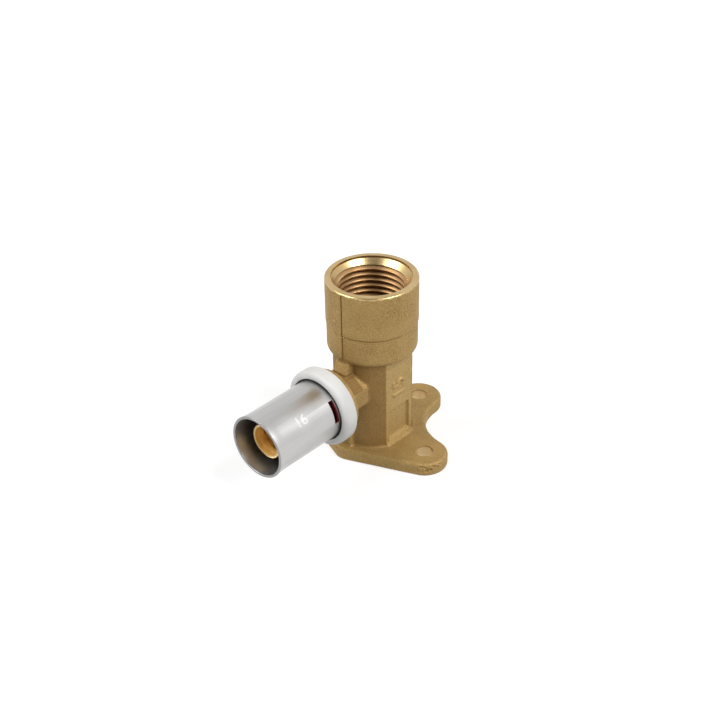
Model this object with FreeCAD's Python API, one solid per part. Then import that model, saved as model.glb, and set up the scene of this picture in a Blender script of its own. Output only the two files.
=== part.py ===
import FreeCAD, Part
import math
import os
from FreeCAD import Vector

# Wall plate elbow for a 16 mm press pipe with a 1/2 inch female thread.
# Frame: origin on the column axis at the wall face of the plate, +Z out of the wall along the
# socket, the pipe tail towards -Y. Millimetres.

# Socket and column
overall_height = 55.7
socket_radius = 13.4
socket_lower_radius = 13.2
socket_band_length = 13.9
socket_band_edge = 0.3
socket_length = 22.8
socket_corner_radius = 1.5
rim_edge = 0.5
column_radius = 11.63
thread_bore_radius = 10.4775
thread_bore_length = 15.5
countersink_radius = 11.57
countersink_step = 0.4
countersink_depth = 2.7
thread_end_slope = 1.6
waterway_radius = 7.0
waterway_floor_below_tail = 5.2
drill_point_height = 2.2

# Wall plate
plate_thickness = 4.2
lug_radius = 6.9
side_hole_distance = 20.0
back_hole_distance = 21.3
screw_hole_radius = 2.6
notch_radius = 14.8
front_edge_angle = 22.0
nose_radius = 5.0
plate_top_rounding = 0.9
plate_wall_edge = 0.4
foot_radius = 0.7

# Flats on the column and the pocket sunk in each
flat_distance = 10.2
flat_top_height = 30.4
flat_run_out = 2.6
pocket_depth = 0.8
pocket_half_width = 4.4
pocket_bottom_height = 5.6
pocket_top_height = 15.6

# Neck, collar and ribs
tail_axis_height = 22.3
neck_width = 13.9
neck_height = 12.0
neck_side_height = 5.7
neck_top_width = 5.8
neck_axis_rise = 0.85
neck_edge = 0.5
collar_radius = 9.9
collar_front = 19.3
collar_width = 2.4
collar_back_slope = 1.6
rib_width = 5.0
rib_front = 12.9
rib_edge = 0.5
flash_width = 0.5
flash_height = 0.14

# Pipe tail
hub_sleeve_clearance = 0.22
hub_length = 1.9
tail_radius = 5.9
tail_end = 43.7
tail_tip_radius = 5.3
tail_tip_length = 1.1
tail_bore_radius = 3.9
tail_mouth_radius = 4.45
tail_mouth_depth = 3.2
tail_mouth_slope = 0.6
barb_height = 0.35
barb_length = 2.4
barb_count = 3
o_ring_section = 1.5
o_ring_groove_width = 2.1
o_ring_groove_depth = 1.15
front_groove_setback = 12.5
groove_spacing = 5.6
o_ring_seat_clearance = 0.02
o_ring_sides = 7

# Press sleeve
sleeve_radius = 9.02
sleeve_wall = 0.8
sleeve_overhang = 3.7
sleeve_mouth_edge = 0.25
window_width = 1.65
window_arc = 43.0
window_count = 2
window_direction = 66.0
window_from_ring = 0.25

# Retaining ring
ring_radius = 11.6
ring_length = 4.5
ring_front_rounding = 1.5
ring_back_edge = 0.4
ring_lip_length = 1.0
ring_hub_clearance = 0.05
ring_sleeve_clearance = 0.08
ring_mouth_gap = 0.75
ring_mouth_depth = 1.1

# Flats that make up each quarter-round edge
rounding_steps = 3

# Places worked out from the sizes above
socket_bottom = overall_height - socket_length
ring_front = collar_front + ring_length
sleeve_seat = collar_front + ring_lip_length
sleeve_inner_radius = sleeve_radius - sleeve_wall
hub_radius = sleeve_inner_radius - hub_sleeve_clearance
sleeve_mouth = tail_end + sleeve_overhang
front_groove_start = tail_end - front_groove_setback
rear_groove_start = front_groove_start - groove_spacing
up = Vector(0, 0, 1)
along_tail = Vector(0, -1, 0)
tail_axis_point = Vector(0, 0, tail_axis_height)


def arc_edge(start, middle, end):
    return Part.Arc(start, middle, end).toShape()


def line_edge(start, end):
    return Part.LineSegment(start, end).toShape()


def quarter_round(centre, radius, start_degrees):
    # Points of a quarter circle in a (radius, distance) section, turning anticlockwise.
    points = []
    for step in range(rounding_steps + 1):
        angle = math.radians(start_degrees + 90 * step / rounding_steps)
        points.append((centre[0] + radius * math.cos(angle), centre[1] + radius * math.sin(angle)))
    return points


def turned(points, axis_point, axis_direction):
    # Solid of revolution from (radius, distance along the axis) points.
    outward = Vector(1, 0, 0)
    corners = []
    for radius, distance in points:
        corners.append(axis_point + outward * radius + axis_direction * distance)
    outline = Part.makePolygon(corners + [corners[0]])
    return Part.Face(outline).revolve(axis_point, axis_direction, 360)


def on_tail(points):
    return turned(points, tail_axis_point, along_tail)


def plate_outline(inset, height):
    # Three lugs joined by two hollow arcs at the back and a blunt nose under the tail.
    lug = lug_radius - inset
    notch = notch_radius + inset
    nose = nose_radius - inset
    side = Vector(side_hole_distance, 0, height)
    back = Vector(0, back_hole_distance, height)
    span = back - side
    outward = Vector(span.y, -span.x, 0).normalize()
    rise = math.sqrt((lug + notch) ** 2 - (span.Length / 2) ** 2)
    notch_centre = (side + back) * 0.5 + outward * rise
    to_side = (side - notch_centre).normalize()
    to_back = (back - notch_centre).normalize()
    side_touch = notch_centre + to_side * notch
    back_touch = notch_centre + to_back * notch
    notch_middle = notch_centre + (to_side + to_back).normalize() * notch
    slope = math.radians(front_edge_angle)
    front_normal = Vector(math.sin(slope), -math.cos(slope), 0)
    front_touch = side + front_normal * lug
    nose_corner = front_touch.y - front_touch.x * math.tan(slope)
    nose_centre = Vector(0, nose_corner + nose / math.cos(slope), height)
    nose_touch = nose_centre + front_normal * nose
    nose_tip = nose_centre + Vector(0, -nose, 0)
    side_tip = side + Vector(lug, 0, 0)
    back_tip = back + Vector(0, lug, 0)

    def mirrored(point):
        return Vector(-point.x, point.y, point.z)

    return Part.Wire([
        arc_edge(mirrored(nose_touch), nose_tip, nose_touch),
        line_edge(nose_touch, front_touch),
        arc_edge(front_touch, side_tip, side_touch),
        arc_edge(side_touch, notch_middle, back_touch),
        arc_edge(back_touch, back_tip, mirrored(back_touch)),
        arc_edge(mirrored(back_touch), mirrored(notch_middle), mirrored(side_touch)),
        arc_edge(mirrored(side_touch), mirrored(side_tip), mirrored(front_touch)),
        line_edge(mirrored(front_touch), mirrored(nose_touch)),
    ])


def plate():
    # Outlines stacked from the wall face up to the rounded top edge.
    outlines = [plate_outline(plate_wall_edge, 0), plate_outline(0, plate_wall_edge)]
    rounding_centre = (-plate_top_rounding, plate_thickness - plate_top_rounding)
    for offset, height in quarter_round(rounding_centre, plate_top_rounding, 0):
        outlines.append(plate_outline(-offset, height))
    return Part.makeLoft(outlines, True, True)


def screw_holes():
    centres = [
        Vector(side_hole_distance, 0, 0),
        Vector(-side_hole_distance, 0, 0),
        Vector(0, back_hole_distance, 0),
    ]
    holes = [Part.makeCylinder(screw_hole_radius, plate_thickness, c, up) for c in centres]
    return Part.makeCompound(holes)


def column():
    # The part of the forging between plate and socket, with a flat and a pocket on each side.
    top = socket_bottom + socket_corner_radius
    foot = hollow_foot(column_radius)
    points = [(0, 0), (foot[0][0], 0)] + foot + [(column_radius, top), (0, top)]
    solid = turned(points, Vector(), up)
    for side in (1, -1):
        solid = solid.cut([side_flat(side), side_pocket(side)])
    return solid


def hollow_foot(wall):
    # Hollow rounding from the plate's top up to a wall at the given distance from the axis.
    centre = (wall + foot_radius, plate_thickness + foot_radius)
    return quarter_round(centre, foot_radius, 180)[::-1]


def side_flat(side):
    # Cutter for one flat: hollow at the foot, running out in a slope under the socket.
    outside = flat_distance + column_radius
    run_out_top = flat_top_height + flat_run_out * column_radius
    section = hollow_foot(flat_distance)
    section += [(flat_distance, flat_top_height), (outside, run_out_top), (outside, plate_thickness)]
    return side_prism(side, section, column_radius + foot_radius)


def side_pocket(side):
    # Cutter for the shallow pocket in one flat: sloped ledge below, square step above.
    floor = flat_distance - pocket_depth
    outside = flat_distance + pocket_depth
    section = [
        (floor, pocket_bottom_height + pocket_depth),
        (floor, pocket_top_height),
        (outside, pocket_top_height),
        (outside, pocket_bottom_height - pocket_depth),
    ]
    return side_prism(side, section, pocket_half_width)


def side_prism(side, section, half_width):
    # Prism along Y, centred on Y = 0, on the +X or the -X side.
    corners = [Vector(side * x, -half_width, z) for x, z in section]
    face = Part.Face(Part.makePolygon(corners + corners[:1]))
    return face.extrude(Vector(0, 2 * half_width, 0))


def socket():
    band_bottom = overall_height - socket_band_length
    corner = (socket_lower_radius - socket_corner_radius, socket_bottom + socket_corner_radius)
    points = [(0, socket_bottom)] + quarter_round(corner, socket_corner_radius, 270)
    points += [
        (socket_lower_radius, band_bottom),
        (socket_radius, band_bottom + socket_band_edge),
        (socket_radius, overall_height - rim_edge),
        (socket_radius - rim_edge, overall_height),
        (0, overall_height),
    ]
    return turned(points, Vector(), up)


def neck():
    # Eight-sided neck from the column to the collar, with soft forged edges.
    width, height = neck_width / 2, neck_height / 2
    top, side = neck_top_width / 2, neck_side_height / 2
    section = [(top, height), (width, side), (width, -side), (top, -height)]
    section += [(-x, z) for x, z in section[::-1]]
    axis_height = tail_axis_height + neck_axis_rise
    corners = [Vector(x, 0, axis_height + z) for x, z in section]
    reach = collar_front - collar_width / 2
    solid = Part.Face(Part.makePolygon(corners + corners[:1])).extrude(along_tail * reach)
    long_edges = [e for e in solid.Edges if e.BoundBox.YLength > reach / 2]
    return solid.makeChamfer(neck_edge, long_edges)


def ribs():
    # Webs on the forging's parting plane: socket to neck above, neck to plate below.
    depth = rib_front - column_radius / 2
    corner = Vector(-rib_width / 2, -rib_front, plate_thickness / 2)
    height = socket_bottom + socket_corner_radius - corner.z
    web = Part.makeBox(rib_width, depth, height, corner)
    front_edges = [
        e for e in web.Edges
        if abs(e.BoundBox.YMax + rib_front) < rib_edge and e.BoundBox.ZLength > height / 2
    ]
    return web.makeChamfer(rib_edge, front_edges)


def flash_lines():
    # Trimmed flash along the parting plane, front and back of the socket.
    length = socket_length - socket_corner_radius - rim_edge
    lines = []
    for direction in (1, -1):
        reach = direction * (socket_radius + flash_height)
        corner = Vector(-flash_width / 2, min(reach, 0), socket_bottom + socket_corner_radius)
        lines.append(Part.makeBox(flash_width, abs(reach), length, corner))
    return lines


def tail():
    # Collar, hub and pipe tail with its barbs, before the seal grooves and the bore are cut.
    collar_back = collar_front - collar_width
    cone_start = collar_back - collar_back_slope
    cone_root = neck_height / 2 - neck_axis_rise
    hub_front = collar_front + hub_length
    points = [
        (0, cone_start),
        (cone_root, cone_start),
        (collar_radius, collar_back),
        (collar_radius, collar_front),
        (hub_radius, collar_front),
        (hub_radius, hub_front),
        (tail_radius, hub_front),
    ]
    barb_end = tail_end - tail_tip_length
    for index in range(barb_count):
        start = barb_end - (barb_count - index) * barb_length
        points.append((tail_radius, start))
        points.append((tail_radius - barb_height, start + barb_length))
    points.append((tail_tip_radius, tail_end))
    points.append((0, tail_end))
    return on_tail(points)


def seal_groove(start):
    floor = tail_radius - o_ring_groove_depth
    outside = tail_radius + o_ring_groove_depth
    end = start + o_ring_groove_width
    return on_tail([(floor, start), (outside, start), (outside, end), (floor, end)])


def socket_bore():
    thread_end = overall_height - thread_bore_length
    waterway_floor = tail_axis_height - waterway_floor_below_tail
    points = [
        (0, overall_height),
        (countersink_radius, overall_height),
        (countersink_radius, overall_height - countersink_step),
        (thread_bore_radius, overall_height - countersink_depth),
        (thread_bore_radius, thread_end),
        (waterway_radius, thread_end - thread_end_slope),
        (waterway_radius, waterway_floor),
        (0, waterway_floor - drill_point_height),
    ]
    return turned(points, Vector(), up)


def tail_bore():
    mouth_start = tail_end - tail_mouth_depth
    points = [
        (0, 0),
        (tail_bore_radius, 0),
        (tail_bore_radius, mouth_start - tail_mouth_slope),
        (tail_mouth_radius, mouth_start),
        (tail_mouth_radius, tail_end),
        (0, tail_end),
    ]
    return on_tail(points)


def brass_body():
    solid = plate().fuse([column(), socket(), neck(), ribs(), tail()] + flash_lines())
    cuts = [screw_holes(), socket_bore(), tail_bore()]
    cuts += [seal_groove(rear_groove_start), seal_groove(front_groove_start)]
    return solid.cut(cuts).removeSplitter()


def o_ring(groove_start):
    section = o_ring_section / 2
    centre_radius = tail_radius - o_ring_groove_depth + o_ring_seat_clearance + section
    centre = groove_start + o_ring_groove_width / 2
    points = []
    for side in range(o_ring_sides):
        angle = math.radians(360 * side / o_ring_sides)
        points.append((centre_radius + section * math.cos(angle), centre + section * math.sin(angle)))
    return on_tail(points)


def press_sleeve():
    inner = sleeve_inner_radius
    points = [
        (inner, sleeve_seat),
        (sleeve_radius, sleeve_seat),
        (sleeve_radius, sleeve_mouth - sleeve_mouth_edge),
        (sleeve_radius - sleeve_mouth_edge, sleeve_mouth),
        (inner + sleeve_mouth_edge, sleeve_mouth),
        (inner, sleeve_mouth - sleeve_mouth_edge),
    ]
    return on_tail(points).cut(sight_windows())


def sight_windows():
    # Slots round the sleeve just in front of the ring, where the pipe's end shows.
    start = ring_front + window_from_ring
    outside = sleeve_radius + sleeve_wall
    inside = sleeve_inner_radius - sleeve_wall
    windows = []
    for index in range(window_count):
        centre = window_direction + index * 360 / window_count
        end = start + window_width
        section = [(inside, start), (outside, start), (outside, end), (inside, end)]
        corners = [tail_axis_point + Vector(0, 0, r) + along_tail * s for r, s in section]
        face = Part.Face(Part.makePolygon(corners + corners[:1]))
        slot = face.revolve(tail_axis_point, Vector(0, 1, 0), window_arc)
        slot.rotate(tail_axis_point, Vector(0, 1, 0), centre - window_arc / 2)
        windows.append(slot)
    return windows


def retaining_ring():
    hub_bore = hub_radius + ring_hub_clearance
    sleeve_bore = sleeve_radius + ring_sleeve_clearance
    front_corner = (ring_radius - ring_front_rounding, ring_front - ring_front_rounding)
    points = [
        (hub_bore, collar_front),
        (ring_radius - ring_back_edge, collar_front),
        (ring_radius, collar_front + ring_back_edge),
    ]
    points += quarter_round(front_corner, ring_front_rounding, 0)
    points += [
        (sleeve_radius + ring_mouth_gap, ring_front),
        (sleeve_bore, ring_front - ring_mouth_depth),
        (sleeve_bore, sleeve_seat),
        (hub_bore, sleeve_seat),
    ]
    return on_tail(points)


def main():
    os.makedirs("parts", exist_ok=True)
    nodes = {
        "brass_body": brass_body(),
        "press_sleeve": press_sleeve(),
        "retaining_ring": retaining_ring(),
        "front_o_ring": o_ring(front_groove_start),
        "rear_o_ring": o_ring(rear_groove_start),
    }
    for name, shape in nodes.items():
        shape.exportStep("parts/" + name + ".step")
        print(name, shape.ShapeType, len(shape.Solids), shape.isValid(), round(shape.Volume, 1))


main()
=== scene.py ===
import math

import bpy
from bpy.props import FloatProperty, FloatVectorProperty, IntProperty, PointerProperty, StringProperty
from mathutils import Matrix, Vector


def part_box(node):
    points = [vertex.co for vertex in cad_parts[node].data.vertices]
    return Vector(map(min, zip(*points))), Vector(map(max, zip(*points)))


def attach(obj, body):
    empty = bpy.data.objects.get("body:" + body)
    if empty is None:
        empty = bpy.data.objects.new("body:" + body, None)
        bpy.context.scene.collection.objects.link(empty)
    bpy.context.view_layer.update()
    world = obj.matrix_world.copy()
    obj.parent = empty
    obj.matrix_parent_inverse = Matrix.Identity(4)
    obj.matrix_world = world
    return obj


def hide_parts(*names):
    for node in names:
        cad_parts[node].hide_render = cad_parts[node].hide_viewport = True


bl_info = {
    "name": "Wall plate elbow",
    "version": (1, 0, 0),
    "blender": (4, 5, 0),
    "location": "3D View > Sidebar > Elbow",
    "description": "Models and finishes a forged brass wall plate elbow with a steel press sleeve",
    "category": "Object",
}

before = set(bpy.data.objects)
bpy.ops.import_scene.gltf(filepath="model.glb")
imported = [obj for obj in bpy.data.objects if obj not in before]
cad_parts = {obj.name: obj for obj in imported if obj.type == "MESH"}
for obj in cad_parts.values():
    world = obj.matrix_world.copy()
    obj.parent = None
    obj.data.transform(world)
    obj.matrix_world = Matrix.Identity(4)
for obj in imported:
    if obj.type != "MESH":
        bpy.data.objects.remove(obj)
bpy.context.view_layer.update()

MM = 0.001
BODY_LOW, BODY_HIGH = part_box("brass_body")
SLEEVE_LOW, SLEEVE_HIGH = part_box("press_sleeve")
RING_LOW, RING_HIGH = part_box("retaining_ring")

# Material places on the body and the thread, after the main finish of each.
TURNED, DRILLED = 1, 2

# Material places on the tail, the sleeve and the ring, after the main finish of each.
WINDOW_SHADE, BORED, LIP_SHADE = 1, 2, 2
RING_MOUTH_SHADE = 1

# Points round the turned pieces and their cutters.
FILLING_POINTS, HOLE_POINTS, TAIL_POINTS, SOCKET_POINTS, SLEEVE_POINTS = 48, 64, 96, 128, 144

# Axes that pieces are turned about, by their place in a vector.
Y_AXIS, Z_AXIS = 1, 2

# Radius of the blunt tip that a turned cutter has on its axis.
BLUNT = 0.05 * MM

# Widths of the thread's crest and base as shares of the pitch, and the crest's rounding.
CREST_SHARE, BASE_SHARE = 0.22, 0.97
CREST_ROUNDING = 0.16 * MM

# Knocks on the near lug's wall, each as degrees from -Y towards +X, height and radius.
DENTS = (
    (29, 3.3 * MM, 0.6 * MM),
    (35, 3.2 * MM, 0.75 * MM),
    (41, 3.1 * MM, 0.75 * MM),
    (48, 2.0 * MM, 1.0 * MM),
    (55, 2.2 * MM, 0.85 * MM),
    (60, 3.6 * MM, 0.7 * MM),
    (67, 3.2 * MM, 0.65 * MM),
    (74, 2.6 * MM, 0.6 * MM),
    (81, 3.5 * MM, 0.7 * MM),
)

# Height of a figure as a share of the font's size.
FIGURE_SHARE = 0.73

# Share of its flare that the sleeve has halfway along it.
BEND_SHARE = 0.3

# Level of the waves that leaves the skin in place, high so that most of the skin moves inwards.
WAVE_LEVEL = 0.8

# Parts of a noise pattern's range over which the finishes change.
EVEN, SPECKLE, CLOUDY, PITTED = (0.3, 0.7), (0.36, 0.66), (0.35, 0.68), (0.38, 0.6)

# Pointiness over which an edge grows lighter, partly as wear and partly as a painted highlight, and a hollow
# takes painted shade.
RUBBED_AND_LIT, HOLLOW_SHADE = (0.56, 0.61), (0.497, 0.45)

# Colour sockets of a Mix node, which share their names with its other sockets.
MIX_FIRST, MIX_SECOND, MIX_RESULT = 6, 7, 2


def length(label, description, metres):
    return FloatProperty(name=label, description=description, default=metres, unit="LENGTH", precision=5)


def angle(label, description, degrees):
    turn = math.radians(degrees)
    return FloatProperty(name=label, description=description, default=turn, unit="ROTATION")


def share(label, description, value):
    return FloatProperty(name=label, description=description, default=value, min=0, max=1, subtype="FACTOR")


def lamp(label, description, value):
    return FloatProperty(name=label, description=description, default=value, min=0)


def count(label, description, value):
    return IntProperty(name=label, description=description, default=value, min=1)


def colour(label, description, value):
    return FloatVectorProperty(
        name=label, description=description, default=value, size=3, min=0, max=1, subtype="COLOR")


class ForgingSizes(bpy.types.PropertyGroup):
    """Sizes of the forged body and of what is machined into it"""

    overall_height: length("Overall height", "Wall face to socket rim", BODY_HIGH.z)
    socket_radius: length("Socket radius", "Outside of the socket", 13.4 * MM)
    rim_edge: length("Rim edge", "Rounding round the rim", 0.5 * MM)
    countersink_radius: length("Countersink radius", "Mouth of the countersink", 11.57 * MM)
    countersink_step: length("Countersink step", "Short upright wall at the countersink's mouth", 0.65 * MM)
    countersink_depth: length("Countersink depth", "Rim to the thread's root", 1.75 * MM)
    thread_root_radius: length("Thread root radius", "Bore at the thread's root", 10.4775 * MM)
    thread_crest_radius: length("Thread crest radius", "Bore at the thread's crest", 9.315 * MM)
    thread_pitch: length("Thread pitch", "Rise of one turn", 1.8143 * MM)
    thread_length: length("Thread length", "Rim to the last turn", 15.5 * MM)
    first_crest: length("First crest", "Rim to the first crest at the back of the mouth", 3.28 * MM)
    first_crest_azimuth: angle("First crest azimuth", "Its place round the mouth, from -Y to +X", 225.6)
    thread_end_slope: length("Thread end slope", "Height of the cone below the thread", 1.6 * MM)
    waterway_radius: length("Waterway radius", "Bore below the thread", 7.0 * MM)
    waterway_floor: length("Waterway floor", "Height of the bore's floor", 17.1 * MM)
    drill_point: length("Drill point", "Depth of the cone in the floor", 2.2 * MM)
    plate_thickness: length("Plate thickness", "Thickness of the wall plate", 4.2 * MM)
    hole_radius: length("Screw hole radius", "Radius of the three screw holes", 2.6 * MM)
    hole_edge: length("Screw hole edge", "Broken edge round each screw hole", 0.1 * MM)
    side_hole_distance: length("Side hole distance", "Axis to each side hole", 20.0 * MM)
    back_hole_distance: length("Back hole distance", "Axis to the back hole", 21.3 * MM)
    flat_distance: length("Flat distance", "Axis to the flats on the column", 10.2 * MM)
    number: StringProperty(name="Number", description="Raised number on one flat", default="15")
    number_height: length("Number height", "Height of the raised figures", 5.0 * MM)
    number_relief: length("Number relief", "How far the figures stand out", 0.5 * MM)
    number_centre: length("Number centre", "Height of the number's middle", 22.4 * MM)
    column_radius: length("Column radius", "Round column under the socket", 11.63 * MM)
    collar_radius: length("Collar radius", "Outside of the collar behind the ring", 9.9 * MM)
    parting_width: length("Parting line width", "Width of the parting line on the socket", 0.32 * MM)
    parting_depth: length("Parting line depth", "Depth of the parting line on the socket", 0.4 * MM)
    parting_offset: length("Parting line offset", "Parting line from the middle plane", 0.6 * MM)
    parting_bottom: length("Parting line bottom", "Height of the parting line's lower end", 33.4 * MM)
    lug_radius: length("Lug radius", "Round end of each lug", 6.9 * MM)
    socket_bottom: length("Socket bottom", "Height of the socket's lower end", 32.9 * MM)
    band_bottom: length("Band bottom", "Height of the line round the socket", 41.75 * MM)
    band_groove: length("Band groove", "Depth of the line round the socket", 0.22 * MM)
    pocket_reach: length("Pocket reach", "Flats to the deepest of their pockets", 1.5 * MM)
    # Limits of the painted shade on the neck's top.
    neck_shade_front: length("Neck dull front", "Collar's face to the dull top of the neck", 2.2 * MM)
    neck_shade_height: length("Neck dull height", "Tail axis to the dull top of the neck", 3.4 * MM)
    rib_width: length("Rib width", "Width of the rib over the neck", 5.0 * MM)
    rib_front: length("Rib front", "Socket axis to the rib's front", 12.9 * MM)
    rib_lean: length("Rib lean", "How far the rib's foot stands out on the neck", 1.4 * MM)
    rib_foot: length("Rib foot", "Height of the rib's foot", 30.0 * MM)
    ledge_height: length("Ledge height", "Height of the ledge under each pocket", 5.6 * MM)
    foot_spread: length("Foot spread", "Slope from each ledge out to the plate", 0.75 * MM)
    skin_grid: length("Skin grid", "Grid of the forged skin", 0.28 * MM)
    skin_softening: count("Softening", "Smoothing passes on the skin", 2)
    skin_waviness: length("Waviness", "Unevenness of the forged skin", 0.08 * MM)
    skin_wavelength: length("Wavelength", "Size of the waves in the skin", 3.5 * MM)
    skin_triangles: count("Triangles", "Triangles kept in the skin", 180000)


class TailSizes(bpy.types.PropertyGroup):
    """Sizes of the turned pipe tail and its seals"""

    axis_height: length("Axis height", "Wall face to the tail's axis", (RING_LOW.z + RING_HIGH.z) / 2)
    collar_front: length("Collar front", "Socket axis to the collar's face", -RING_HIGH.y)
    root: length("Root", "How far the tail starts behind the collar's face", 0.2 * MM)
    hub_radius: length("Hub radius", "Hub that centres the ring", 8.0 * MM)
    hub_length: length("Hub length", "Hub in front of the collar", 1.9 * MM)
    radius: length("Tail radius", "Outside of the tail", 5.9 * MM)
    end: length("Tail end", "Socket axis to the tail's end", -BODY_LOW.y)
    tip_radius: length("Tip radius", "Outside of the tip", 5.1 * MM)
    tip_length: length("Tip length", "Taper at the tip", 1.1 * MM)
    bore_radius: length("Bore radius", "Bore of the tail", 3.9 * MM)
    mouth_radius: length("Mouth radius", "Counterbore at the tail's end", 4.45 * MM)
    mouth_depth: length("Mouth depth", "Depth of the counterbore", 3.2 * MM)
    mouth_slope: length("Mouth slope", "Cone between counterbore and bore", 1.2 * MM)
    barb_height: length("Barb height", "Step of each barb", 0.35 * MM)
    barb_length: length("Barb length", "Length of each barb", 2.4 * MM)
    barb_count: count("Barbs", "Number of barbs", 3)
    groove_width: length("Groove width", "Width of each seal groove", 2.1 * MM)
    groove_depth: length("Groove depth", "Depth of each seal groove", 1.15 * MM)
    groove_setback: length("Groove setback", "Tail end to the front groove", 12.5 * MM)
    groove_spacing: length("Groove spacing", "From one groove to the next", 5.6 * MM)
    edge: length("Edge", "Broken edges of the turned tail", 0.06 * MM)
    seal_section: length("Seal section", "Thickness of each seal", 1.5 * MM)
    seal_clearance: length("Seal clearance", "Seal above its groove's floor", 0.02 * MM)
    seal_flash: length("Seal flash", "Mould line round each seal", 0.03 * MM)


class SleeveSizes(bpy.types.PropertyGroup):
    """Sizes of the press sleeve and of the ring that holds it"""

    radius: length("Sleeve radius", "Outside of the sleeve", SLEEVE_HIGH.x)
    wall: length("Sleeve wall", "Wall of the sleeve", 0.8 * MM)
    seat: length("Sleeve seat", "Socket axis to the sleeve's inner end", -SLEEVE_HIGH.y)
    mouth: length("Sleeve mouth", "Socket axis to the sleeve's mouth", -SLEEVE_LOW.y)
    lip: length("Lip", "Rounding of the sleeve's ends", 0.22 * MM)
    flare: length("Flare", "How far the sleeve's mouth opens out", 0.3 * MM)
    flare_length: length("Flare length", "Length of the sleeve's opened mouth", 4.0 * MM)
    window_width: length("Window width", "Width of each sight window", 1.65 * MM)
    window_arc: angle("Window arc", "Arc of each sight window", 43)
    window_direction: angle("Window direction", "First window, from the top towards +X", 66)
    window_from_ring: length("Window from ring", "Ring to the windows", 0.3 * MM)
    window_corner: length("Window corner", "Rounding of the windows' corners", 0.18 * MM)
    window_count: count("Windows", "Number of sight windows", 2)
    number: StringProperty(name="Number", description="Etched number on the sleeve", default="16")
    number_height: length("Number height", "Height of the etched figures", 3.2 * MM)
    number_direction: angle("Number direction", "Etched number, from the top towards +X", 48)
    number_place: length("Number place", "Socket axis to the number's middle", 36.5 * MM)
    number_lift: length("Number lift", "Height of the etched figures", 0.008 * MM)
    ring_radius: length("Ring radius", "Outside of the ring", RING_HIGH.x)
    ring_back: length("Ring back", "Socket axis to the ring's back", -RING_HIGH.y)
    ring_front: length("Ring front", "Socket axis to the ring's front", -RING_LOW.y)
    ring_rounding: length("Ring rounding", "Rounding of the ring's front", 1.5 * MM)
    ring_back_edge: length("Ring back edge", "Rounding of the ring's back", 0.4 * MM)
    ring_hub_bore: length("Ring hub bore", "Bore of the ring on the hub", 8.05 * MM)
    ring_clearance: length("Ring clearance", "Between ring and sleeve", 0.08 * MM)
    ring_mouth_gap: length("Ring mouth gap", "Opening of the ring's mouth round the sleeve", 0.5 * MM)
    ring_mouth_depth: length("Ring mouth depth", "Depth of the ring's mouth", 2.8 * MM)
    ring_mouth_edge: length("Ring mouth edge", "Rounding of the ring's mouth", 0.25 * MM)


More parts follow.
